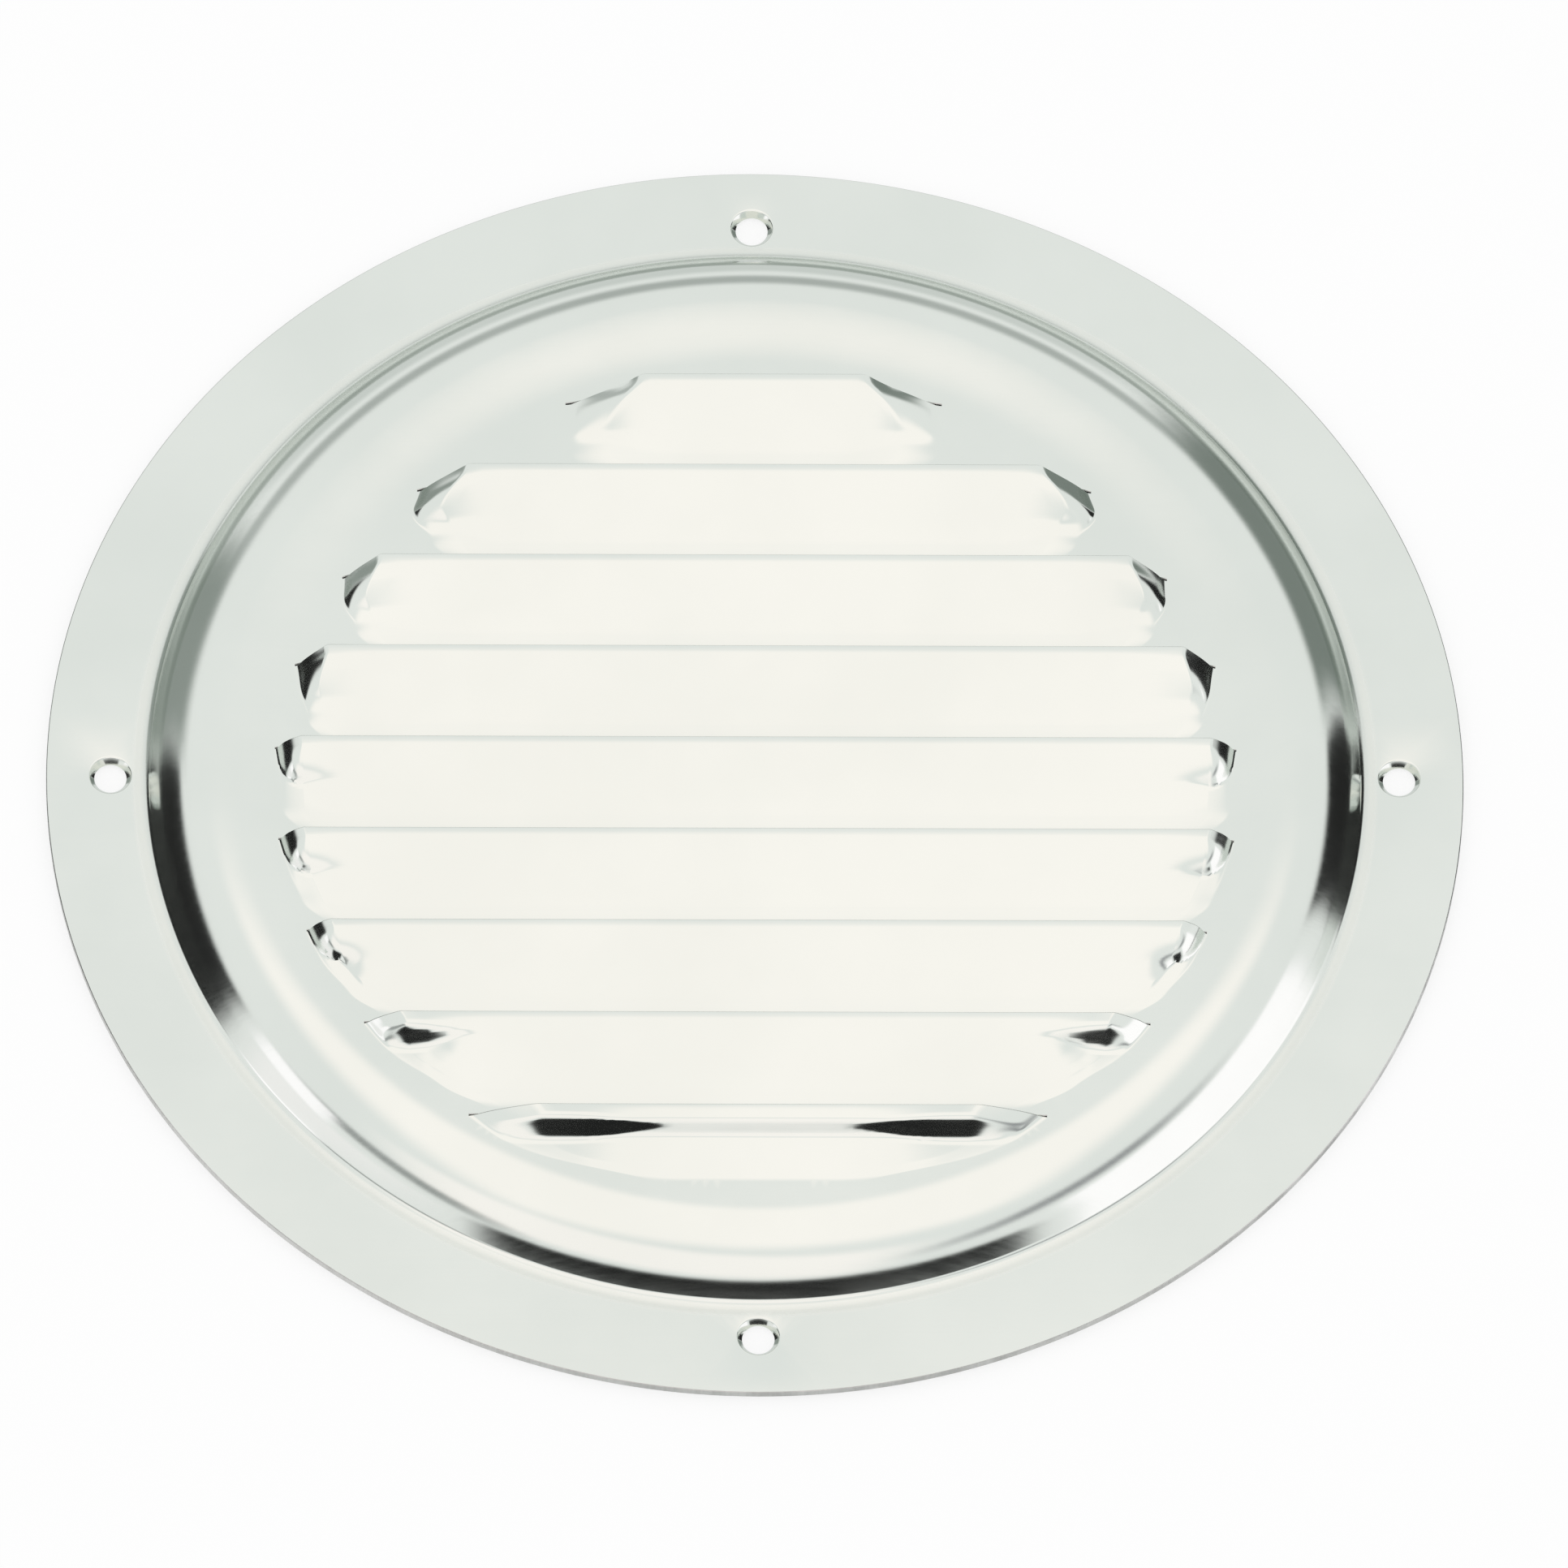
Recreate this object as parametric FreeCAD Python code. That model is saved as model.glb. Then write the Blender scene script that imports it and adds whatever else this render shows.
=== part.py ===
import FreeCAD, Part
import math
import os

# A round louvred vent cover, pressed from one sheet of stainless steel.
# It lies on its mounting face: Z is up and out of the wall, and Y is across the louvre rows.

# The sheet and the flange, in millimetres
sheet_thickness = 0.8
flange_diameter = 127.0
flange_width = 8.9

# The dome that is drawn up from the sheet inside the flange
dome_height = 5.6
dome_shoulder_radius = 7.8
dome_wall_length = 1.9

# The screw holes in the flange, with a small countersunk mouth
screw_centre_from_rim = 5.75
screw_hole_count = 4
screw_hole_diameter = 2.9
screw_mouth_diameter = 3.8
screw_mouth_depth = 0.6

# The louvres, each lanced along a slit and pressed up into a hood. The rows lie close behind one
# another, and the front row, which has no neighbour to reach to, is less deep.
louvre_depth = 8.6
front_louvre_depth = 6.5
louvre_lift = 2.2
louvre_end_run = 3.2
louvre_bridge = 0.9
shortest_level_lip = 10.0
lance_gap = 0.2
field_margin = 0.9

# The form of a hood, in shares of its size. The ramp leaves the flat top smoothly at the hinge and
# is level again at the lip. Each closed end is steep at its foot and rounds over to the level middle.
ramp_stations = (0.0, 0.36, 0.62, 1.0)
ramp_rises = (0.0, 0.0, 1.0, 1.0)
end_stations = (0.0, 0.28, 0.62, 1.0)
end_rises = (0.0, 0.6, 0.92, 1.0)

# Sizes that follow from the ones above
flange_reach = flange_diameter / 2
foot_reach = flange_reach - flange_width
screw_circle_reach = flange_reach - screw_centre_from_rim
dome_rise = dome_height - sheet_thickness
wall_angle = (
    math.acos((dome_shoulder_radius - dome_rise) / math.hypot(dome_shoulder_radius, dome_wall_length))
    - math.atan2(dome_wall_length, dome_shoulder_radius)
)
flat_reach = (
    foot_reach - dome_shoulder_radius * math.sin(wall_angle) - dome_wall_length * math.cos(wall_angle)
)
louvre_pitch = louvre_depth + louvre_bridge
field_centre_y = -front_louvre_depth / 2
field_reach = flat_reach - field_margin - front_louvre_depth / 2

origin = FreeCAD.Vector(0, 0, 0)
up = FreeCAD.Vector(0, 0, 1)


def dome_skin(depth):
    """Faces of one skin of the dome and flange, outside the flat top, at a depth below the face."""
    radius = dome_shoulder_radius - depth
    centre_z = dome_height - dome_shoulder_radius
    shoulder_points = [
        FreeCAD.Vector(flat_reach + radius * math.sin(turn), 0, centre_z + radius * math.cos(turn))
        for turn in (0, wall_angle / 2, wall_angle)
    ]
    mitre = depth * math.tan(wall_angle / 2)
    foot = FreeCAD.Vector(foot_reach - mitre, 0, sheet_thickness - depth)
    rim = FreeCAD.Vector(flange_reach, 0, sheet_thickness - depth)
    shoulder = Part.Arc(*shoulder_points).toShape()
    wall = Part.makeLine(shoulder_points[-1], foot)
    flange = Part.makeLine(foot, rim)
    return [edge.revolve(origin, up, 360) for edge in (shoulder, wall, flange)]


def rim_face():
    """The cut edge round the flange."""
    edge = Part.makeLine(
        FreeCAD.Vector(flange_reach, 0, 0), FreeCAD.Vector(flange_reach, 0, sheet_thickness)
    )
    return edge.revolve(origin, up, 360)


def half_length(y):
    """Half the length of the round louvre field at a place y across the rows."""
    return math.sqrt(field_reach**2 - (y - field_centre_y) ** 2)


def hood_half_lengths(slit_y, hood_depth):
    """Half lengths of a hood at its hinge and its slit: its ends follow the round field, and
    where the field widens towards the hinge they follow it for a third of the depth."""
    hinge_half = min(half_length(slit_y - hood_depth), half_length(slit_y - hood_depth / 3))
    return hinge_half, half_length(slit_y)


def bend_shift(run, rise, depth):
    """How far a bend moves along at a depth in the sheet, so that the slope keeps its thickness."""
    slope = math.atan2(rise, run)
    return depth * math.tan(slope / 2)


def end_net(slit_y, hood_depth, depth, side):
    """Control points of one closed end of a hood: rows from hinge to lip, columns inwards from the foot."""
    ramp_run = hood_depth * (1 + ramp_stations[2] - ramp_stations[1]) / 2
    ramp_shift = bend_shift(ramp_run, louvre_lift, depth)
    end_shift = bend_shift(end_stations[1] * louvre_end_run, end_rises[1] * louvre_lift, depth)
    hinge_half, slit_half = hood_half_lengths(slit_y, hood_depth)
    level_half = min(hinge_half, slit_half) - louvre_end_run
    net = []
    for station, rise in zip(ramp_stations, ramp_rises):
        y = slit_y - hood_depth * (1 - station)
        if 0 < station < 1:
            y += ramp_shift
        foot_half = hinge_half + (slit_half - hinge_half) * station
        row = []
        for end_station, end_rise in zip(end_stations, end_rises):
            x = foot_half + (level_half - foot_half) * end_station - end_shift
            z = dome_height - depth + louvre_lift * rise * end_rise
            row.append(FreeCAD.Vector(side * x, y, z))
        net.append(row)
    return net


def smooth_band(first_points, last_points):
    """Surface ruled between two smooth curves, each given by its control points."""
    net = [[a, b] for a, b in zip(first_points, last_points)]
    degree = len(net) - 1
    ends = [degree + 1, degree + 1]
    surface = Part.BSplineSurface()
    surface.buildFromPolesMultsKnots(net, ends, [2, 2], [0, 1], [0, 1], False, False, degree, 1)
    return surface


def hood_skin(slit_y, hood_depth, depth):
    """One skin of a hood, in bands from end to end: its faces, and its hinge, lip and end edges."""
    left = end_net(slit_y, hood_depth, depth, -1)
    right = end_net(slit_y, hood_depth, depth, 1)
    columns = list(zip(*left)) + list(zip(*right))[::-1]
    bands = [smooth_band(a, b) for a, b in zip(columns, columns[1:])]
    faces = [band.toShape() for band in bands]
    hinge = [band.uIso(0).toShape() for band in bands]
    lip = [band.uIso(1).toShape() for band in bands]
    ends = [bands[0].vIso(0).toShape(), bands[-1].vIso(1).toShape()]
    return faces, hinge, lip, ends


def slit_corners(slit_y, hood_depth, depth):
    """Corners of the lancing gap along a slit, from one tip of the hood round to the other."""
    left_tip = end_net(slit_y, hood_depth, depth, -1)[-1][0]
    right_tip = end_net(slit_y, hood_depth, depth, 1)[-1][0]
    across = FreeCAD.Vector(0, lance_gap, 0)
    return [left_tip, left_tip + across, right_tip + across, right_tip]


def lines(points):
    """Straight edges through points."""
    return [Part.makeLine(a, b) for a, b in zip(points, points[1:])]


def face_of(edges):
    """Flat face inside a closed ring of edges."""
    return Part.Face(Part.Wire(Part.__sortEdges__(edges)))


def louvre(row):
    """One louvre: its faces, and the outlines that it cuts in the face and back of the flat top."""
    slit_y = row * louvre_pitch
    hood_depth = front_louvre_depth if row == -rows_each_side else louvre_depth
    faces = []
    outlines = []
    lips = []
    gap_corners = []
    for depth in (0, sheet_thickness):
        skin_faces, hinge, lip, ends = hood_skin(slit_y, hood_depth, depth)
        corners = slit_corners(slit_y, hood_depth, depth)
        faces += skin_faces
        outlines.append(Part.Wire(Part.__sortEdges__(hinge + ends + lines(corners))))
        lips += lip
        gap_corners.append(corners)
    uprights = [Part.makeLine(a, b) for a, b in zip(*gap_corners)]
    faces.append(face_of(lips + [uprights[0], uprights[-1]]))
    gap_lines = zip(lines(gap_corners[0]), lines(gap_corners[1]), uprights, uprights[1:])
    faces += [face_of(edges) for edges in gap_lines]
    return faces, outlines


def flat_top(outlines, depth):
    """One skin of the flat top of the dome, open where the louvres are lanced."""
    circle = Part.Wire(Part.makeCircle(flat_reach, FreeCAD.Vector(0, 0, dome_height - depth)))
    return Part.makeFace([circle] + outlines, "Part::FaceMakerCheese")


def screw_hole(index):
    """Cutter for one screw hole: a plain bore with a small countersunk mouth."""
    angle = 2 * math.pi * index / screw_hole_count
    foot = FreeCAD.Vector(screw_circle_reach * math.cos(angle), screw_circle_reach * math.sin(angle), 0)
    mouth = foot + FreeCAD.Vector(0, 0, sheet_thickness - screw_mouth_depth)
    bore = Part.makeCylinder(screw_hole_diameter / 2, sheet_thickness, foot)
    cone = Part.makeCone(screw_hole_diameter / 2, screw_mouth_diameter / 2, screw_mouth_depth, mouth)
    return bore.fuse(cone)


# The rows that fit in the field with a lip long enough, the middle slit on the centre line
shortest_half = shortest_level_lip / 2 + louvre_end_run
field_half_width = math.sqrt(field_reach**2 - shortest_half**2)
rows_each_side = int((field_half_width - front_louvre_depth / 2) // louvre_pitch)
louvres = [louvre(row) for row in range(-rows_each_side, rows_each_side + 1)]

# The two skins of the sheet and its cut edges, sewn into one solid
skins = [rim_face()]
for side, depth in enumerate((0, sheet_thickness)):
    skins += dome_skin(depth)
    skins.append(flat_top([outlines[side] for faces, outlines in louvres], depth))
for faces, outlines in louvres:
    skins += faces
shell = Part.makeShell(skins)
shell.sewShape()
pressing = Part.makeSolid(shell)

# The screw holes are punched last
vent_cover = pressing.cut([screw_hole(index) for index in range(screw_hole_count)]).Solids[0]

os.makedirs("parts", exist_ok=True)
vent_cover.exportStep("parts/vent_cover.step")
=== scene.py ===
import math
from collections import namedtuple

import bmesh
import bpy
import numpy as np
from mathutils import Matrix, Vector
from mathutils.geometry import delaunay_2d_cdt


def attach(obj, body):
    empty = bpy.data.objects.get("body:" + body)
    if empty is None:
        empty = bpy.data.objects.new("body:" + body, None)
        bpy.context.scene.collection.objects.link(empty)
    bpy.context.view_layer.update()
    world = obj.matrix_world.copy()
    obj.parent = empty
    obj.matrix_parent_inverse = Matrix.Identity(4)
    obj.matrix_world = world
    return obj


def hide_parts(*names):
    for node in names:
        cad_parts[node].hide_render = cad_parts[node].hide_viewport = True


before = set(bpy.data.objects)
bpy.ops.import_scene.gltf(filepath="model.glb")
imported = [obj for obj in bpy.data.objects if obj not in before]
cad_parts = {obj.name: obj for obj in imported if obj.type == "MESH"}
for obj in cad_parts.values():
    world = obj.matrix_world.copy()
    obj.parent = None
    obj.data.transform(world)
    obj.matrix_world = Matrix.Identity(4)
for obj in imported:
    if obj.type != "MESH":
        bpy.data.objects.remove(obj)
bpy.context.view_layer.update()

# The dome: the middle of a round stainless sheet is drawn up in a press into a shallow dome with a
# flat top. Its shoulder is a wide roll, its wall is short and steep, and its foot is a tight bend.
# Sizes are in millimetres, and each point of the sheet's face keeps the direction square to it.
sheet_thickness = 0.8
dome_height = 5.6
dome_foot_reach = 54.6
shoulder_radius = 7.8
wall_length = 1.9
foot_bend_radius = 1.2
points_around = 288
shoulder_steps = 30
foot_steps = 8

dome_rise = dome_height - sheet_thickness
wall_angle = (
    math.acos((shoulder_radius - dome_rise) / math.hypot(shoulder_radius, wall_length))
    - math.atan2(wall_length, shoulder_radius)
)
flat_reach = (
    dome_foot_reach - shoulder_radius * math.sin(wall_angle) - wall_length * math.cos(wall_angle)
)

points = []
normals = []
sheet_faces = []


def add_points(places, directions):
    """Adds points with the directions square to the sheet there, and returns their numbers."""
    first = len(points)
    points.extend(np.asarray(places, float).reshape(-1, 3))
    normals.extend(np.asarray(directions, float).reshape(-1, 3))
    return list(range(first, len(points)))


def add_band(first_row, second_row, closed=False):
    """Joins two rows of points with four-sided faces."""
    ends = list(zip(first_row, second_row))
    following = ends[1:] + ends[:1] if closed else ends[1:]
    for (a, b), (c, d) in zip(ends, following):
        sheet_faces.append((a, c, d, b))


def circle(count):
    """Directions evenly round the axis."""
    turns = np.arange(count) * 2 * math.pi / count
    return np.stack([np.cos(turns), np.sin(turns), np.zeros(count)], axis=1)


around = circle(points_around)
upward = np.array([0.0, 0.0, 1.0])


def ring(reach, height, lean):
    """A ring of points round the axis, where the sheet leans outwards by an angle."""
    places = around * reach + upward * height
    directions = around * math.sin(lean) + upward * math.cos(lean)
    return add_points(places, directions)


shoulder_height = dome_height - shoulder_radius
foot_tangent = foot_bend_radius * math.tan(wall_angle / 2)
foot_centre_reach = dome_foot_reach + foot_tangent
foot_centre_height = sheet_thickness + foot_bend_radius

dome_rings = []
for step in range(shoulder_steps + 1):
    lean = wall_angle * step / shoulder_steps
    reach = flat_reach + shoulder_radius * math.sin(lean)
    dome_rings.append(ring(reach, shoulder_height + shoulder_radius * math.cos(lean), lean))
for step in range(foot_steps + 1):
    lean = wall_angle * (1 - step / foot_steps)
    reach = foot_centre_reach - foot_bend_radius * math.sin(lean)
    dome_rings.append(ring(reach, foot_centre_height - foot_bend_radius * math.cos(lean), lean))
for inner, outer in zip(dome_rings, dome_rings[1:]):
    add_band(inner, outer, closed=True)
top_edge = dome_rings[0]
foot_edge = dome_rings[-1]

# The louvres: each is lanced along a slit and pressed up into a hood in the same stroke.
# Its ramp leaves the flat top at a smooth hinge and levels out at the lip, and its two closed ends
# are steep. The rows lie close behind one another, and their ends follow a circle.
louvre_pitch = 9.5
louvre_depth = 8.6
front_louvre_depth = 6.5
louvre_lift = 2.17
lance_gap = 0.25
field_reach = 43.0
field_centre_y = -3.25

# A ramp rises in a low part along its whole depth, and in a steeper part of its own run, which
# starts a little way behind the lip.
Ramp = namedtuple("Ramp", "low_share start run")
gentle_ramp = Ramp(low_share=0.35, start=1.3, run=4.6)

# A hood's ramp changes inwards from its ends, past the end reach and over the blend run. At its
# ends it is turned towards the corners, rounded like a ball, or narrowed to a steep lens.
# A slit is as long as the field is wide there, unless it has a length of its own.
Hood = namedtuple(
    "Hood",
    "form slit_half slit_bend lip_roll end_run end_shrink end_tuck field_share fullness"
    " middle_ramp end_ramp end_reach blend_run",
)
turned_hood = Hood(
    form="turned",
    slit_half=None,
    slit_bend=0.0,  # how far the slit's ends bend back towards the hinge
    lip_roll=0.0,  # how far the lip is rolled over along its ends
    end_run=2.7,  # the length of a closed end at the lip
    end_shrink=0.45,  # the share of that length that is lost behind the lip
    end_tuck=1.05,  # how far the foot of an end moves inwards behind the lip
    field_share=1.0,  # how closely an end follows the round field
    fullness=0.22,  # how full an end is at its foot
    middle_ramp=gentle_ramp,
    end_ramp=Ramp(low_share=0.35, start=1.5, run=3.4),
    end_reach=3.0,
    blend_run=5.0,
)
ball_hood = turned_hood._replace(
    form="ball", end_shrink=0.15, end_tuck=0.6, fullness=0.42, end_reach=2.6, blend_run=3.0
)
narrowed_hood = turned_hood._replace(form="narrowed")

# The rows, from the nearest to the farthest; the middle slit is on the centre line.
hoods = {
    -4: narrowed_hood._replace(
        end_run=5.6,
        middle_ramp=Ramp(low_share=0.45, start=1.3, run=1.2),
        end_ramp=Ramp(low_share=0.05, start=1.1, run=1.45),
        end_reach=8.5,
        blend_run=9.0,
    ),
    -3: narrowed_hood._replace(
        end_run=3.0, end_ramp=Ramp(low_share=0.06, start=1.2, run=1.5), end_reach=4.6
    ),
    -2: ball_hood._replace(end_run=2.0, end_ramp=Ramp(low_share=0.2, start=0.8, run=2.4)),
    -1: ball_hood._replace(end_run=2.1, end_ramp=Ramp(low_share=0.22, start=0.9, run=2.7)),
    0: ball_hood._replace(end_run=2.2, end_ramp=Ramp(low_share=0.25, start=0.9, run=2.9)),
    1: turned_hood._replace(slit_bend=0.8),
    2: turned_hood._replace(slit_bend=1.1, end_run=3.2),
    3: turned_hood._replace(slit_half=30.0, slit_bend=1.4, lip_roll=0.12, end_run=4.3),
    4: turned_hood._replace(
        slit_half=16.5,
        slit_bend=1.7,
        lip_roll=0.5,
        end_run=6.4,
        end_tuck=0.0,
        field_share=0.0,
        fullness=0.1,
    ),
}
front_row = min(hoods)

# The bends, tucks and rolls that all hoods share, and the dish of the field that they stand in.
ramp_bend = 0.18
end_bend = 0.07
ball_power = 2.2
least_steep_run = 0.15
lip_level = 0.9
lip_softness = 0.8
hinge_softness = 0.06
follow_at_lip = 0.55
follow_start = 2.0
follow_run = 4.0
hinge_corner_tuck = 1.4
hinge_corner_run = 3.0
end_tuck_run = 3.2
end_shrink_run = 4.0
roll_lead = 0.6
roll_run = 3.0
roll_width = 0.9
dish_depth = 0.5
dish_inner = 40.5
dish_outer = 48.0
dish_near_y = -46.0
dish_far_y = 40.0

# How finely the hoods and the flat top between them are divided.
ramp_steps = 38
end_steps = 20
middle_steps = 40
lip_crowding = 1.25
end_crowding = 1.15
square_rounds = 4
guard = 0.2
guard_stride = 3
margin_reaches = np.arange(40.2, 46.7, 0.8)
margin_points = 240
margin_clearance = 0.5
point_tolerance = 1e-6


def smooth_step(share):
    """Rises smoothly from 0 to 1 while the share goes from 0 to 1."""
    share = np.clip(share, 0.0, 1.0)
    return share * share * (3 - 2 * share)


def half_length(y):
    """Half the length of the round louvre field at a place across the rows."""
    return np.sqrt(field_reach**2 - (y - field_centre_y) ** 2)


def slit_half_length(row):
    """Half the length of a row's slit."""
    return hoods[row].slit_half or half_length(row * louvre_pitch)


def slit_bend(row, x):
    """How far a slit bends back towards its hinge along the falling ends of its hood."""
    hood = hoods[row]
    falling = (np.abs(x) - slit_half_length(row) + hood.end_run) / hood.end_run
    return hood.slit_bend * np.clip(falling, 0.0, 1.0)


def dish(x, y):
    """How far the field of louvres is drawn down inside its margin, most at the far side."""
    inwards = 1 - smooth_step((np.hypot(x, y) - dish_inner) / (dish_outer - dish_inner))
    farness = (y - dish_near_y) / (dish_far_y - dish_near_y)
    return dish_depth * inwards * np.clip(farness, 0.0, 1.0)


def foot_half_length(hood, slit_y, slit_half, away):
    """Half the length of a hood between the feet of its ends, at distances away from its lip."""
    follow = smooth_step((away - follow_start) / follow_run)
    round_tuck = half_length(slit_y) - half_length(slit_y - away)
    round_share = np.where(
        round_tuck > 0,
        follow_at_lip + (1 - follow_at_lip) * follow,
        follow_at_lip * (1 - follow),
    )
    near_hinge = smooth_step((away - away[0] + hinge_corner_run) / hinge_corner_run)
    end_tuck = hood.end_tuck * np.tanh(away / end_tuck_run)
    field_tuck = hood.field_share * round_share * round_tuck
    return slit_half - hinge_corner_tuck * near_hinge**2 - (end_tuck + field_tuck)


def end_area(share, fullness):
    """The area under a hood's end, which is steep at its foot and still slopes at the ramp."""
    share = np.clip(share, 0.0, None)
    rest = 1 - np.minimum(share, 1.0)
    straight = (1 - fullness) * (1 - rest) ** 2 / 2
    full = fullness * (1 - rest - (1 - rest**5) / 5)
    return straight + full + np.clip(share - 1, 0.0, None)


def end_rise(share, fullness):
    """The rise of a hood's closed end from its foot to the ramp, with its bends smoothed."""
    high, low = (end_area(share + side * end_bend, fullness) for side in (1, -1))
    return (high - low) / (2 * end_bend)


def end_to_end(end_values, middle_value):
    """Values across a hood: those of its left end, a level middle, and the left end mirrored."""
    middle = np.full(middle_steps - 1, middle_value)
    return np.concatenate([end_values, middle, end_values[::-1]])


def low_rise(away):
    """The low part of a ramp, which is level at the lip and leaves the flat top softly."""
    level_away = np.sqrt(away**2 + lip_softness) - lip_level
    low = 1 - np.maximum(level_away, 0.0) / level_away[0]
    return low * low / (low + hinge_softness) * (1 + hinge_softness)


def ramp_rise(away, start, run):
    """A straight ramp that falls from 1 to 0 over a run away from the lip, with smooth bends."""
    share = (away - start) / run
    low, high = (np.clip(share + side * ramp_bend, 0.0, None) for side in (-1, 1))
    low_past, high_past = (np.clip(share + side * ramp_bend - 1, 0.0, None) for side in (-1, 1))
    return 1 - (high**2 - low**2 - high_past**2 + low_past**2) / (4 * ramp_bend)


def steep_rise(hood, away, inwards, across_rise):
    """The steep part of a hood's ramp together with its closed ends."""
    end, middle = hood.end_ramp, hood.middle_ramp
    if hood.form == "narrowed":
        run = np.maximum(end.run * (1 - inwards), least_steep_run)
        start = end.start + (end.run - run) / 2
        steep = ramp_rise(away, start, run)
        gentle = ramp_rise(away, middle.start, middle.run)
        return (inwards * gentle + (1 - inwards) * steep) * across_rise

    start = end.start + (middle.start - end.start) * inwards
    run = end.run + (middle.run - end.run) * inwards
    turned = ramp_rise(away, start, run)
    if hood.form == "turned":
        return turned * across_rise

    down = np.clip((away - start) / run, 0.0, None)
    outwards = end_to_end(np.clip(1 - end_share, 0.0, None), 0.0)
    from_crest = (down**ball_power + outwards**ball_power) ** (1 / ball_power)
    ball = end_rise(1 - from_crest, hood.fullness)
    return inwards * turned + (1 - inwards) * ball


def square_to(grid):
    """Directions square to a grid of points, evened out, and upright along the flat top."""
    square = np.cross(np.gradient(grid, axis=1), np.gradient(grid, axis=0))
    square /= np.linalg.norm(square, axis=-1, keepdims=True)
    for _ in range(square_rounds):
        square[1:-1] += square[2:] + square[:-2]
        square[:, 1:-1] += square[:, 2:] + square[:, :-2]
    square[0] = upward
    square[:, 0] = upward
    square[:, -1] = upward
    return square / np.linalg.norm(square, axis=-1, keepdims=True)


def flat_row(x, y):
    """Points on the flat top."""
    x, y = np.broadcast_arrays(np.asarray(x, float), np.asarray(y, float))
    places = np.stack([x, y, np.full(x.shape, dome_height)], axis=-1)
    return add_points(places, np.broadcast_to(upward, places.shape))


def chain(numbers):
    """Pairs of neighbours in a row of points."""
    return list(zip(numbers, numbers[1:]))


end_share = -end_bend + (1 + 2 * end_bend) * np.linspace(0, 1, end_steps + 1) ** end_crowding
middle_share = np.linspace(-1, 1, middle_steps + 1)[1:-1]
flat_points = list(top_edge)
flat_edges = list(zip(top_edge, top_edge[1:] + top_edge[:1]))
flat_points += ring(flat_reach - guard, dome_height, 0)
slits = []
windows = []

for row, hood in sorted(hoods.items()):
    slit_y = row * louvre_pitch
    slit_half = slit_half_length(row)
    depth = front_louvre_depth if row == front_row else louvre_depth
    lift = louvre_lift + dish(0.0, slit_y)

    # A grid of points: its rows go from the hinge to the lip, and its columns from end to end.
    away = depth * (1 - np.linspace(0, 1, ramp_steps + 1)) ** lip_crowding
    foot_half = foot_half_length(hood, slit_y, slit_half, away)
    run = hood.end_run * (1 - hood.end_shrink * smooth_step(away / end_shrink_run))
    left_x = -(foot_half[:, None] - run[:, None] * end_share)
    x = np.concatenate([left_x, -left_x[:, -1:] * middle_share, -left_x[:, ::-1]], axis=1)
    away = away[:, None]
    y = slit_y - away - slit_bend(row, x) * (1 - away / depth)

    # Its height: the low and the steep part of the ramp, and the lip rolled over along its ends.
    across_rise = end_to_end(end_rise(end_share, hood.fullness), 1.0)
    inwards = smooth_step((slit_half - np.abs(x) - hood.end_reach) / hood.blend_run)
    low_share = hood.end_ramp.low_share
    low_share = low_share + (hood.middle_ramp.low_share - low_share) * inwards
    rise = low_share * low_rise(away) * across_rise
    rise += (1 - low_share) * steep_rise(hood, away, inwards, across_rise)
    along_end = np.abs(x) - (slit_half - hood.end_run) + roll_lead
    rolled = smooth_step(along_end / roll_run) * np.exp(-away / roll_width)
    z = dome_height + lift * rise - hood.lip_roll * rolled * across_rise

    grid = np.stack([x, y, z], axis=-1)
    numbers = np.array(add_points(grid, square_to(grid))).reshape(x.shape)
    for near, far in zip(numbers, numbers[1:]):
        add_band(near.tolist(), far.tolist())

    # The window that the hood leaves in the flat top, closed by the edge across the lancing gap.
    lip = numbers[-1].tolist()
    hinge = numbers[0].tolist()
    left_end = numbers[:, 0].tolist()
    right_end = numbers[:, -1].tolist()
    tip = x[-1, -1]
    bridge_x = np.linspace(tip, -tip, 2 * end_steps + 1)
    bridge_edge = flat_row(bridge_x, slit_y + lance_gap - slit_bend(row, bridge_x))
    slits.append(lip + bridge_edge)
    windows.append((row, y[:, -1], x[:, -1]))
    flat_points += hinge + left_end[1:] + right_end[1:] + bridge_edge
    flat_edges += chain(hinge) + chain(left_end) + chain(right_end)
    flat_edges += chain([right_end[-1]] + bridge_edge + [left_end[-1]])

    # Points a little outside the window keep the flat top flat in its shading.
    beside = slice(None, -1, guard_stride)
    flat_points += flat_row(x[0, ::guard_stride], slit_y - depth - guard)
    flat_points += flat_row(x[beside, 0] - guard, y[beside, 0])
    flat_points += flat_row(x[beside, -1] + guard, y[beside, -1])
    guard_x = np.linspace(-tip, tip, end_steps)
    flat_points += flat_row(guard_x, slit_y + lance_gap + guard - slit_bend(row, guard_x))


def on_flat_top(x, y):
    """True where the flat top is whole, outside the windows of the louvres."""
    for row, window_y, window_half in windows:
        if window_y[0] < y < row * louvre_pitch + lance_gap - slit_bend(row, x):
            if abs(x) < np.interp(y, window_y, window_half):
                return False
    return True


def on_margin(x, y):
    """True on the flat top well clear of the windows of the louvres."""
    steps = (-margin_clearance, 0, margin_clearance)
    return all(on_flat_top(x + dx, y + dy) for dx in steps for dy in steps)


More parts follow.
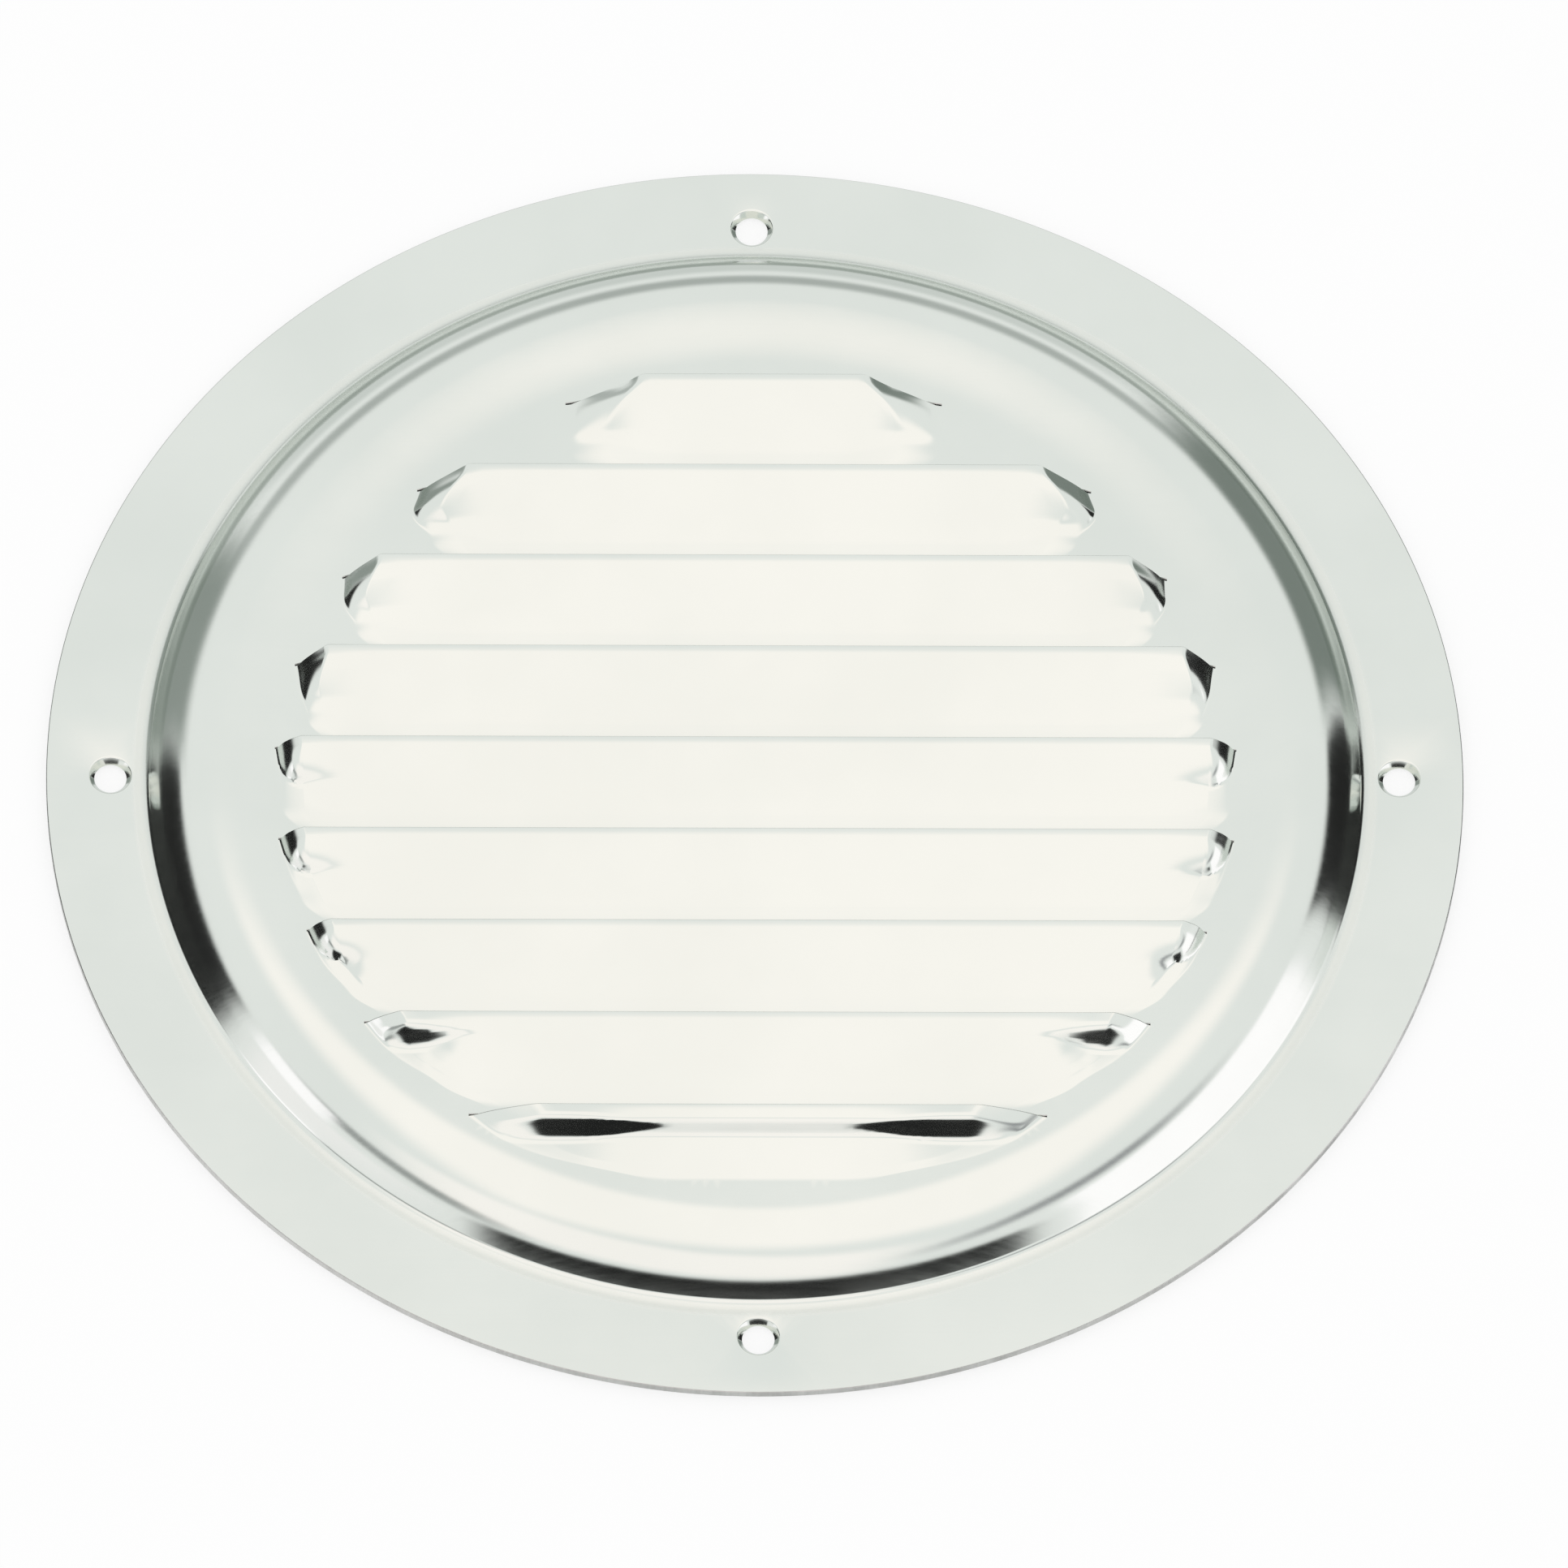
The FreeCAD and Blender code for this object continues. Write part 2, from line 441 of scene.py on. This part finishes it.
def flat_faces(numbers, edges, is_sheet):
    """Three-sided faces between points of a flat part of the sheet, along given edges."""
    place = {number: index for index, number in enumerate(numbers)}
    corners = [Vector(points[number][:2]) for number in numbers]
    lines = [(place[a], place[b]) for a, b in edges]
    found, _, faces, origins, _, _ = delaunay_2d_cdt(corners, lines, [], 0, point_tolerance)
    kept = []
    for face in faces:
        middle = sum((found[corner] for corner in face), Vector((0, 0))) / len(face)
        if is_sheet(middle.x, middle.y):
            kept.append(tuple(numbers[origins[corner][0]] for corner in face))
    return kept


margin_around = circle(margin_points)
for margin_reach in margin_reaches:
    places = margin_reach * margin_around
    places = np.array([place for place in places if on_margin(place[0], place[1])])
    flat_points += flat_row(places[:, 0], places[:, 1])

sheet_faces += flat_faces(flat_points, flat_edges, on_flat_top)

# The pressing of the louvres draws the field down a little inside the margin of the flat top.
for place in points:
    if math.hypot(place[0], place[1]) < dish_outer:
        place[2] -= dish(place[0], place[1])

# The back of the pressed middle follows its face at one sheet thickness.
formed = len(points)
points.extend(np.array(points) - sheet_thickness * np.array(normals))
normals.extend(-np.array(normals[:formed]))
sheet_faces += [tuple(number + formed for number in reversed(face)) for face in sheet_faces]

# The flange: a flat rim of the same sheet round the dome, which lies on the wall. It is punched
# with four screw holes, each with a lightly dished mouth on the face, so that a small screw head
# beds down. A hole's profile is given by reach and height, from its mouth to its back.
flange_reach = 63.5
screw_circle_reach = 57.75
screw_holes = 4
points_round_hole = 64
hole_profile = (
    (2.02, 0.80),
    (1.95, 0.79),
    (1.89, 0.755),
    (1.84, 0.70),
    (1.49, 0.20),
    (1.45, 0.14),
    (1.45, 0.06),
    (1.50, 0.0),
)
cut_bevel = 0.07
foot_slack = 0.05

rim_reach = flange_reach - cut_bevel
face_rim = ring(rim_reach, sheet_thickness, 0)
back_rim = ring(rim_reach, 0, math.pi)
face_loops = [foot_edge, face_rim]
back_loops = [[number + formed for number in foot_edge], back_rim]
hole_around = circle(points_round_hole)
hole_centres = screw_circle_reach * circle(screw_holes)
for centre in hole_centres:
    rings = []
    for reach, height in hole_profile:
        places = centre + hole_around * reach + upward * height
        rings.append(add_points(places, np.broadcast_to(upward, places.shape)))
    for outer, inner in zip(rings, rings[1:]):
        add_band(inner, outer, closed=True)
    face_loops.append(rings[0])
    back_loops.append(rings[-1])


def flange_test(hole_reach):
    """A test for the flange being whole, outside its holes."""

    def on_flange(x, y):
        if math.hypot(x, y) < foot_centre_reach + foot_slack:
            return False
        return all(math.hypot(x - c[0], y - c[1]) > hole_reach for c in hole_centres)

    return on_flange


for loops, height, hole_reach in (
    (face_loops, sheet_thickness, hole_profile[0][0]),
    (back_loops, 0.0, hole_profile[-1][0]),
):
    numbers = [number for loop in loops for number in loop]
    edges = [pair for loop in loops for pair in zip(loop, loop[1:] + loop[:1])]
    numbers += ring(foot_centre_reach + guard, height, 0)
    sheet_faces += flat_faces(numbers, edges, flange_test(hole_reach))

# The cut edges: the sheet is sheared round its rim and lanced along the slits.
# Both leave a wall square to the sheet, rougher than its face, with the burr taken off its corners.
first_cut_face = len(sheet_faces)


def cut_edge(face_loop, back_loop, side):
    """A sheared edge with small bevels round a loop; side is 1 at an opening and -1 at a rim."""
    face_places = np.array([points[number] for number in face_loop])
    back_places = np.array([points[number] for number in back_loop])
    through = face_places - back_places
    through /= np.linalg.norm(through, axis=1, keepdims=True)
    along = np.roll(face_places, -1, axis=0) - np.roll(face_places, 1, axis=0)
    out = side * np.cross(through, along)
    out /= np.linalg.norm(out, axis=1, keepdims=True)
    face_bevel = add_points(face_places + cut_bevel * (out - through), out)
    back_bevel = add_points(back_places + cut_bevel * (out + through), out)
    add_band(face_loop, face_bevel, closed=True)
    add_band(face_bevel, back_bevel, closed=True)
    add_band(back_bevel, back_loop, closed=True)


cut_edge(face_rim, back_rim, -1)
for slit in slits:
    cut_edge(slit, [number + formed for number in slit], 1)

# The pressed cover: flange, dome and louvres are one piece of bright stainless sheet, polished by a
# belt that ran along the louvres. Fine lines and faint clouds are left in the polish, and the belt
# did not reach into the bend at the foot of the dome. The cut edges keep their sheared grain.
millimetre = 0.001
crisp_angle = math.radians(24)
cover_mesh = bpy.data.meshes.new("pressed_cover")
cover_mesh.from_pydata((np.array(points) * millimetre).tolist(), [], sheet_faces)
cover_mesh.validate()
cover = bpy.data.objects.new("pressed_cover", cover_mesh)
bpy.context.scene.collection.objects.link(cover)

shape = bmesh.new()
shape.from_mesh(cover_mesh)
for index, face in enumerate(shape.faces):
    face.smooth = True
    face.material_index = 1 if index >= first_cut_face else 0
loose_points = [point for point in shape.verts if not point.link_faces]
bmesh.ops.delete(shape, geom=loose_points, context="VERTS")
bmesh.ops.recalc_face_normals(shape, faces=shape.faces)
for edge in shape.edges:
    edge.smooth = edge.calc_face_angle(0.0) < crisp_angle
shape.to_mesh(cover_mesh)
shape.free()

metal_marks = bpy.data.node_groups.new("metal_marks", "ShaderNodeTree")
for socket_name, direction, kind in (
    ("Line Stretch", "INPUT", "NodeSocketVector"),
    ("Cloud Scale", "INPUT", "NodeSocketFloat"),
    ("Lines", "OUTPUT", "NodeSocketFloat"),
    ("Clouds", "OUTPUT", "NodeSocketFloat"),
):
    metal_marks.interface.new_socket(socket_name, in_out=direction, socket_type=kind)
marks_in = metal_marks.nodes.new("NodeGroupInput")
marks_out = metal_marks.nodes.new("NodeGroupOutput")
marks_place = metal_marks.nodes.new("ShaderNodeTexCoord")
marks_stretch = metal_marks.nodes.new("ShaderNodeVectorMath")
marks_stretch.operation = "MULTIPLY"
marks_lines = metal_marks.nodes.new("ShaderNodeTexNoise")
marks_lines.inputs["Scale"].default_value = 1.0
marks_lines.inputs["Detail"].default_value = 3.0
marks_lines.inputs["Roughness"].default_value = 0.6
marks_clouds = metal_marks.nodes.new("ShaderNodeTexNoise")
marks_clouds.inputs["Detail"].default_value = 4.0
marks_clouds.inputs["Roughness"].default_value = 0.55
for source, target in (
    (marks_place.outputs["Object"], marks_stretch.inputs[0]),
    (marks_in.outputs["Line Stretch"], marks_stretch.inputs[1]),
    (marks_stretch.outputs[0], marks_lines.inputs["Vector"]),
    (marks_place.outputs["Object"], marks_clouds.inputs["Vector"]),
    (marks_in.outputs["Cloud Scale"], marks_clouds.inputs["Scale"]),
    (marks_lines.outputs["Fac"], marks_out.inputs["Lines"]),
    (marks_clouds.outputs["Fac"], marks_out.inputs["Clouds"]),
):
    metal_marks.links.new(source, target)


def metal(name, line_stretch, cloud_scale):
    """A bare metal material: itself, its tree, its shader, and its line and cloud marks."""
    material = bpy.data.materials.new(name)
    material.use_nodes = True
    tree = material.node_tree
    shader = tree.nodes["Principled BSDF"]
    shader.inputs["Metallic"].default_value = 1.0
    marks = tree.nodes.new("ShaderNodeGroup")
    marks.node_tree = metal_marks
    marks.inputs["Line Stretch"].default_value = line_stretch
    marks.inputs["Cloud Scale"].default_value = cloud_scale
    return material, tree, shader, marks.outputs["Lines"], marks.outputs["Clouds"]


def spread(tree, value, low, high, start=0.3, end=0.7):
    """A number that goes from low to high while a value goes from start to end."""
    node = tree.nodes.new("ShaderNodeMapRange")
    node.interpolation_type = "SMOOTHSTEP"
    node.inputs["From Min"].default_value = start
    node.inputs["From Max"].default_value = end
    node.inputs["To Min"].default_value = low
    node.inputs["To Max"].default_value = high
    tree.links.new(value, node.inputs["Value"])
    return node.outputs[0]


def calculate(tree, operation, first, second):
    """The result of an operation on two values, the second a socket or a number."""
    node = tree.nodes.new("ShaderNodeMath")
    node.operation = operation
    tree.links.new(first, node.inputs[0])
    if isinstance(second, (int, float)):
        node.inputs[1].default_value = second
    else:
        tree.links.new(second, node.inputs[1])
    return node.outputs[0]


def distance_from_zero(tree, value):
    """The size of a value without its sign."""
    node = tree.nodes.new("ShaderNodeMath")
    node.operation = "ABSOLUTE"
    tree.links.new(value, node.inputs[0])
    return node.outputs[0]


def tinted(tree, value, dark, light):
    """A colour between two shades, by a value."""
    node = tree.nodes.new("ShaderNodeMix")
    node.data_type = "RGBA"
    node.inputs["A"].default_value = (*dark, 1)
    node.inputs["B"].default_value = (*light, 1)
    tree.links.new(value, node.inputs["Factor"])
    return node.outputs["Result"]


def reach_from_axis(tree):
    """The distance of a place from the axis of the part."""
    place = tree.nodes.new("ShaderNodeTexCoord")
    flat = tree.nodes.new("ShaderNodeVectorMath")
    flat.operation = "MULTIPLY"
    flat.inputs[1].default_value = (1, 1, 0)
    tree.links.new(place.outputs["Object"], flat.inputs[0])
    length = tree.nodes.new("ShaderNodeVectorMath")
    length.operation = "LENGTH"
    tree.links.new(flat.outputs[0], length.inputs[0])
    return length.outputs["Value"]


def raise_surface(tree, shader, height, strength, distance):
    """Small raised marks on a surface."""
    bump = tree.nodes.new("ShaderNodeBump")
    bump.inputs["Strength"].default_value = strength
    bump.inputs["Distance"].default_value = distance
    tree.links.new(height, bump.inputs["Height"])
    tree.links.new(bump.outputs[0], shader.inputs["Normal"])


# The polish of the face and back; reach, width and depth are in metres.
polish_dark = (0.705, 0.745, 0.705)
polish_light = (0.735, 0.773, 0.733)
polish_roughness = (0.1, 0.14)
line_roughness = 0.012
line_height = 0.012
polish_depth = 0.00004
foot_bend_reach = 0.0552
foot_bend_roughness = 0.3
foot_bend_width = (0.0002, 0.0008)
polished, tree, shader, lines, clouds = metal("polished_stainless", (60, 3200, 900), 45.0)
shade = spread(tree, clouds, 0.0, 1.0)
tree.links.new(tinted(tree, shade, polish_dark, polish_light), shader.inputs["Base Color"])
from_bend = calculate(tree, "SUBTRACT", reach_from_axis(tree), foot_bend_reach)
from_bend = distance_from_zero(tree, from_bend)
unpolished = spread(tree, from_bend, foot_bend_roughness, 0.0, *foot_bend_width)
cloud_gloss = spread(tree, clouds, *polish_roughness)
line_gloss = spread(tree, lines, -line_roughness, line_roughness)
roughness = calculate(tree, "ADD", calculate(tree, "ADD", cloud_gloss, line_gloss), unpolished)
tree.links.new(roughness, shader.inputs["Roughness"])
surface_height = calculate(tree, "ADD", calculate(tree, "MULTIPLY", lines, line_height), clouds)
raise_surface(tree, shader, surface_height, 1.0, polish_depth)

# The sheared walls of the cut edges.
sheared_dark = (0.46, 0.47, 0.45)
sheared_light = (0.64, 0.65, 0.63)
sheared_roughness = (0.28, 0.44)
sheared_depth = 0.00003
sheared, tree, shader, lines, clouds = metal("sheared_edge", (2600, 2600, 260), 300.0)
tree.links.new(tinted(tree, lines, sheared_dark, sheared_light), shader.inputs["Base Color"])
tree.links.new(spread(tree, clouds, *sheared_roughness), shader.inputs["Roughness"])
raise_surface(tree, shader, lines, 0.5, sheared_depth)

cover_mesh.materials.append(polished)
cover_mesh.materials.append(sheared)
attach(cover, "root")
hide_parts("vent_cover")

# The studio floor: a plain pale sheet under the part, which is lit to white except in the shade
# under the dome. Reflections see the white room through it, and from below it is clear, so that
# the back of the part can be looked at. Sizes are in metres from here on.
floor_half = 4.0
floor_drop = 0.0002
floor_colour = (0.95, 0.95, 0.95)
floor_roughness = 0.9
floor_whiteness = 0.75
shade_reach = dome_foot_reach * millimetre
shade_softness = 0.0006
square_corners = ((-1, -1), (1, -1), (1, 1), (-1, 1))
floor_mesh = bpy.data.meshes.new("studio_floor")
floor_mesh.from_pydata(
    [(x * floor_half, y * floor_half, 0) for x, y in square_corners], [], [(0, 1, 2, 3)]
)
floor = bpy.data.objects.new("studio_floor", floor_mesh)
floor.location.z = -floor_drop
bpy.context.scene.collection.objects.link(floor)

pale = bpy.data.materials.new("pale_floor")
pale.use_nodes = True
tree = pale.node_tree
shader = tree.nodes["Principled BSDF"]
shader.inputs["Base Color"].default_value = (*floor_colour, 1)
shader.inputs["Roughness"].default_value = floor_roughness
shader.inputs["Specular IOR Level"].default_value = 0.0
light_path = tree.nodes.new("ShaderNodeLightPath")
floor_side = tree.nodes.new("ShaderNodeNewGeometry")


def mix_shaders(share, first, second):
    """A floor shader between two others, by a share."""
    node = tree.nodes.new("ShaderNodeMixShader")
    for index, socket in enumerate((share, first, second)):
        tree.links.new(socket, node.inputs[index])
    return node.outputs[0]


shade_edge = shade_reach + shade_softness
in_open = spread(tree, reach_from_axis(tree), 0.0, 1.0, shade_reach, shade_edge)
whiteness = calculate(tree, "MULTIPLY", in_open, floor_whiteness)
whiteness = calculate(tree, "MULTIPLY", whiteness, light_path.outputs["Is Camera Ray"])
white_ground = tree.nodes.new("ShaderNodeEmission")
ground = mix_shaders(whiteness, shader.outputs[0], white_ground.outputs[0])
from_below = calculate(tree, "MINIMUM", light_path.outputs["Transparent Depth"], 1.0)
see_through = calculate(tree, "MAXIMUM", in_open, from_below)
see_through = calculate(tree, "MULTIPLY", see_through, light_path.outputs["Is Glossy Ray"])
see_through = calculate(tree, "MAXIMUM", see_through, floor_side.outputs["Backfacing"])
clear_sheet = tree.nodes.new("ShaderNodeBsdfTransparent")
ground = mix_shaders(see_through, ground, clear_sheet.outputs[0])
tree.links.new(ground, tree.nodes["Material Output"].inputs["Surface"])
floor_mesh.materials.append(pale)

# The studio: a white room, with soft glowing panels overhead, in front and behind, and dark cards
# low down round the set that give the polished steel its black edges. Only reflections see them.
scene = bpy.context.scene
world = bpy.data.worlds.new("white_room")
scene.world = world
world.use_nodes = True
world.node_tree.nodes["Background"].inputs["Color"].default_value = (1, 1, 1, 1)
world.node_tree.nodes["Background"].inputs["Strength"].default_value = 1.0
panel_distance = 1.0
black_cloth = (0.02, 0.02, 0.02)

soft_edges = bpy.data.node_groups.new("soft_edges", "ShaderNodeTree")
for socket_name in ("Half Width", "Half Height", "Full Width", "Full Height"):
    soft_edges.interface.new_socket(socket_name, in_out="INPUT", socket_type="NodeSocketFloat")
soft_edges.interface.new_socket("Cover", in_out="OUTPUT", socket_type="NodeSocketFloat")
edges_in = soft_edges.nodes.new("NodeGroupInput")
edges_out = soft_edges.nodes.new("NodeGroupOutput")
edges_place = soft_edges.nodes.new("ShaderNodeTexCoord")
edges_split = soft_edges.nodes.new("ShaderNodeSeparateXYZ")
soft_edges.links.new(edges_place.outputs["Object"], edges_split.inputs[0])
covers = []
for axis, size_name in (("X", "Width"), ("Y", "Height")):
    fade = soft_edges.nodes.new("ShaderNodeMapRange")
    fade.interpolation_type = "SMOOTHSTEP"
    fade.inputs["To Min"].default_value = 1.0
    fade.inputs["To Max"].default_value = 0.0
    from_middle = distance_from_zero(soft_edges, edges_split.outputs[axis])
    soft_edges.links.new(from_middle, fade.inputs["Value"])
    soft_edges.links.new(edges_in.outputs["Full " + size_name], fade.inputs["From Min"])
    soft_edges.links.new(edges_in.outputs["Half " + size_name], fade.inputs["From Max"])
    covers.append(fade.outputs[0])
soft_edges.links.new(calculate(soft_edges, "MULTIPLY", *covers), edges_out.inputs["Cover"])


def studio_panel(name, azimuth, elevation, half_across, half_up, colour, softness):
    """A panel that faces the part, placed and sized by angles, with edges that fade away."""
    turn = math.radians(azimuth)
    rise = math.radians(elevation)
    away = Vector((math.cos(turn), math.sin(turn), 0)) * math.cos(rise)
    away.z = math.sin(rise)
    across = Vector((-math.sin(turn), math.cos(turn), 0))
    facing = Matrix((across, away.cross(across), away)).transposed().to_4x4()
    width = panel_distance * math.tan(math.radians(half_across))
    height = panel_distance * math.tan(math.radians(half_up))
    mesh = bpy.data.meshes.new(name)
    mesh.from_pydata(
        [(x * width, y * height, 0) for x, y in square_corners], [], [(0, 1, 2, 3)]
    )
    panel = bpy.data.objects.new(name, mesh)
    panel.matrix_world = Matrix.Translation(away * panel_distance) @ facing
    panel.visible_camera = False
    panel.visible_diffuse = False
    panel.visible_shadow = False
    scene.collection.objects.link(panel)

    cloth = bpy.data.materials.new(name + "_cloth")
    cloth.use_nodes = True
    cloth.cycles.emission_sampling = "NONE"
    shader = cloth.node_tree.nodes["Principled BSDF"]
    shader.inputs["Base Color"].default_value = (0, 0, 0, 1)
    shader.inputs["Specular IOR Level"].default_value = 0.0
    shader.inputs["Emission Color"].default_value = (*colour, 1)
    shader.inputs["Emission Strength"].default_value = 1.0
    edges = cloth.node_tree.nodes.new("ShaderNodeGroup")
    edges.node_tree = soft_edges
    edges.inputs["Half Width"].default_value = width
    edges.inputs["Half Height"].default_value = height
    edges.inputs["Full Width"].default_value = width * (1 - softness)
    edges.inputs["Full Height"].default_value = height * (1 - softness)
    cloth.node_tree.links.new(edges.outputs["Cover"], shader.inputs["Alpha"])
    mesh.materials.append(cloth)


# Azimuth and elevation, half width and half height, all in degrees, then colour and softness.
studio_panel("overhead_panel", 270, 87, 38, 34, (1.265, 1.187, 1.165), 0.45)
studio_panel("front_panel", 253, 36, 40, 19, (1.25, 1.17, 1.16), 0.5)
studio_panel("far_grey_panel", 95, 21, 58, 12, (0.52, 0.54, 0.53), 0.8)
studio_panel("far_low_panel", 95, -28, 34, 36, (0.76, 0.78, 0.77), 0.35)
studio_panel("right_frame", 322, 31, 30, 7, (0.36, 0.36, 0.38), 0.9)
studio_panel("left_frame", 214, 20, 26, 7, (0.38, 0.39, 0.39), 0.8)
studio_panel("right_far_card", 50, -5, 17, 32, (0.24, 0.27, 0.25), 0.4)
studio_panel("left_far_card", 138, -5, 14, 35, (0.33, 0.36, 0.34), 0.5)
studio_panel("right_strip", 341, 8, 25, 17, (1.36, 1.29, 1.34), 0.2)
studio_panel("right_low_card", 352, -28, 28, 22, black_cloth, 0.25)
studio_panel("left_strip", 208, -22, 23, 33, (1.15, 1.1, 1.12), 0.3)
studio_panel("left_light", 196, 14, 9, 9, (1.36, 1.29, 1.34), 0.4)
studio_panel("front_card", 270, -14, 46, 34, black_cloth, 0.22)
studio_panel("left_card", 166, -11, 20, 35, black_cloth, 0.25)
studio_panel("right_card", 23, -10, 13, 35, black_cloth, 0.25)

# The camera: it looks down on the part from in front, as the photograph does, with a long lens
# that is set so that the part's origin falls on its place in the square image.
image_side = 1932
part_pixel = (930.15, 962.5)
pixels_per_metre = 13748
camera_azimuth = math.radians(-1.726)
camera_elevation = math.radians(59.278)
camera_roll = math.radians(1.636)
camera_distance = 3.0
sensor_width = 36

back = Vector((
    math.sin(camera_azimuth) * math.cos(camera_elevation),
    -math.cos(camera_azimuth) * math.cos(camera_elevation),
    math.sin(camera_elevation),
))
level_right = Vector((math.cos(camera_azimuth), math.sin(camera_azimuth), 0))
level_up = back.cross(level_right)
right = math.cos(camera_roll) * level_right + math.sin(camera_roll) * level_up
above = math.cos(camera_roll) * level_up - math.sin(camera_roll) * level_right
lens = bpy.data.cameras.new("camera")
lens.sensor_width = sensor_width
lens.lens = pixels_per_metre * camera_distance * sensor_width / image_side
lens.clip_start = 0.1
lens.clip_end = 50
camera = bpy.data.objects.new("camera", lens)
across = (image_side / 2 - part_pixel[0]) / pixels_per_metre
down = (image_side / 2 - part_pixel[1]) / pixels_per_metre
stand = back * camera_distance + right * across - above * down
facing = Matrix((right, above, back)).transposed().to_4x4()
camera.matrix_world = Matrix.Translation(stand) @ facing
scene.collection.objects.link(camera)
scene.camera = camera
scene.view_settings.view_transform = "Standard"

# The scene is brought up to date.
bpy.context.view_layer.update()
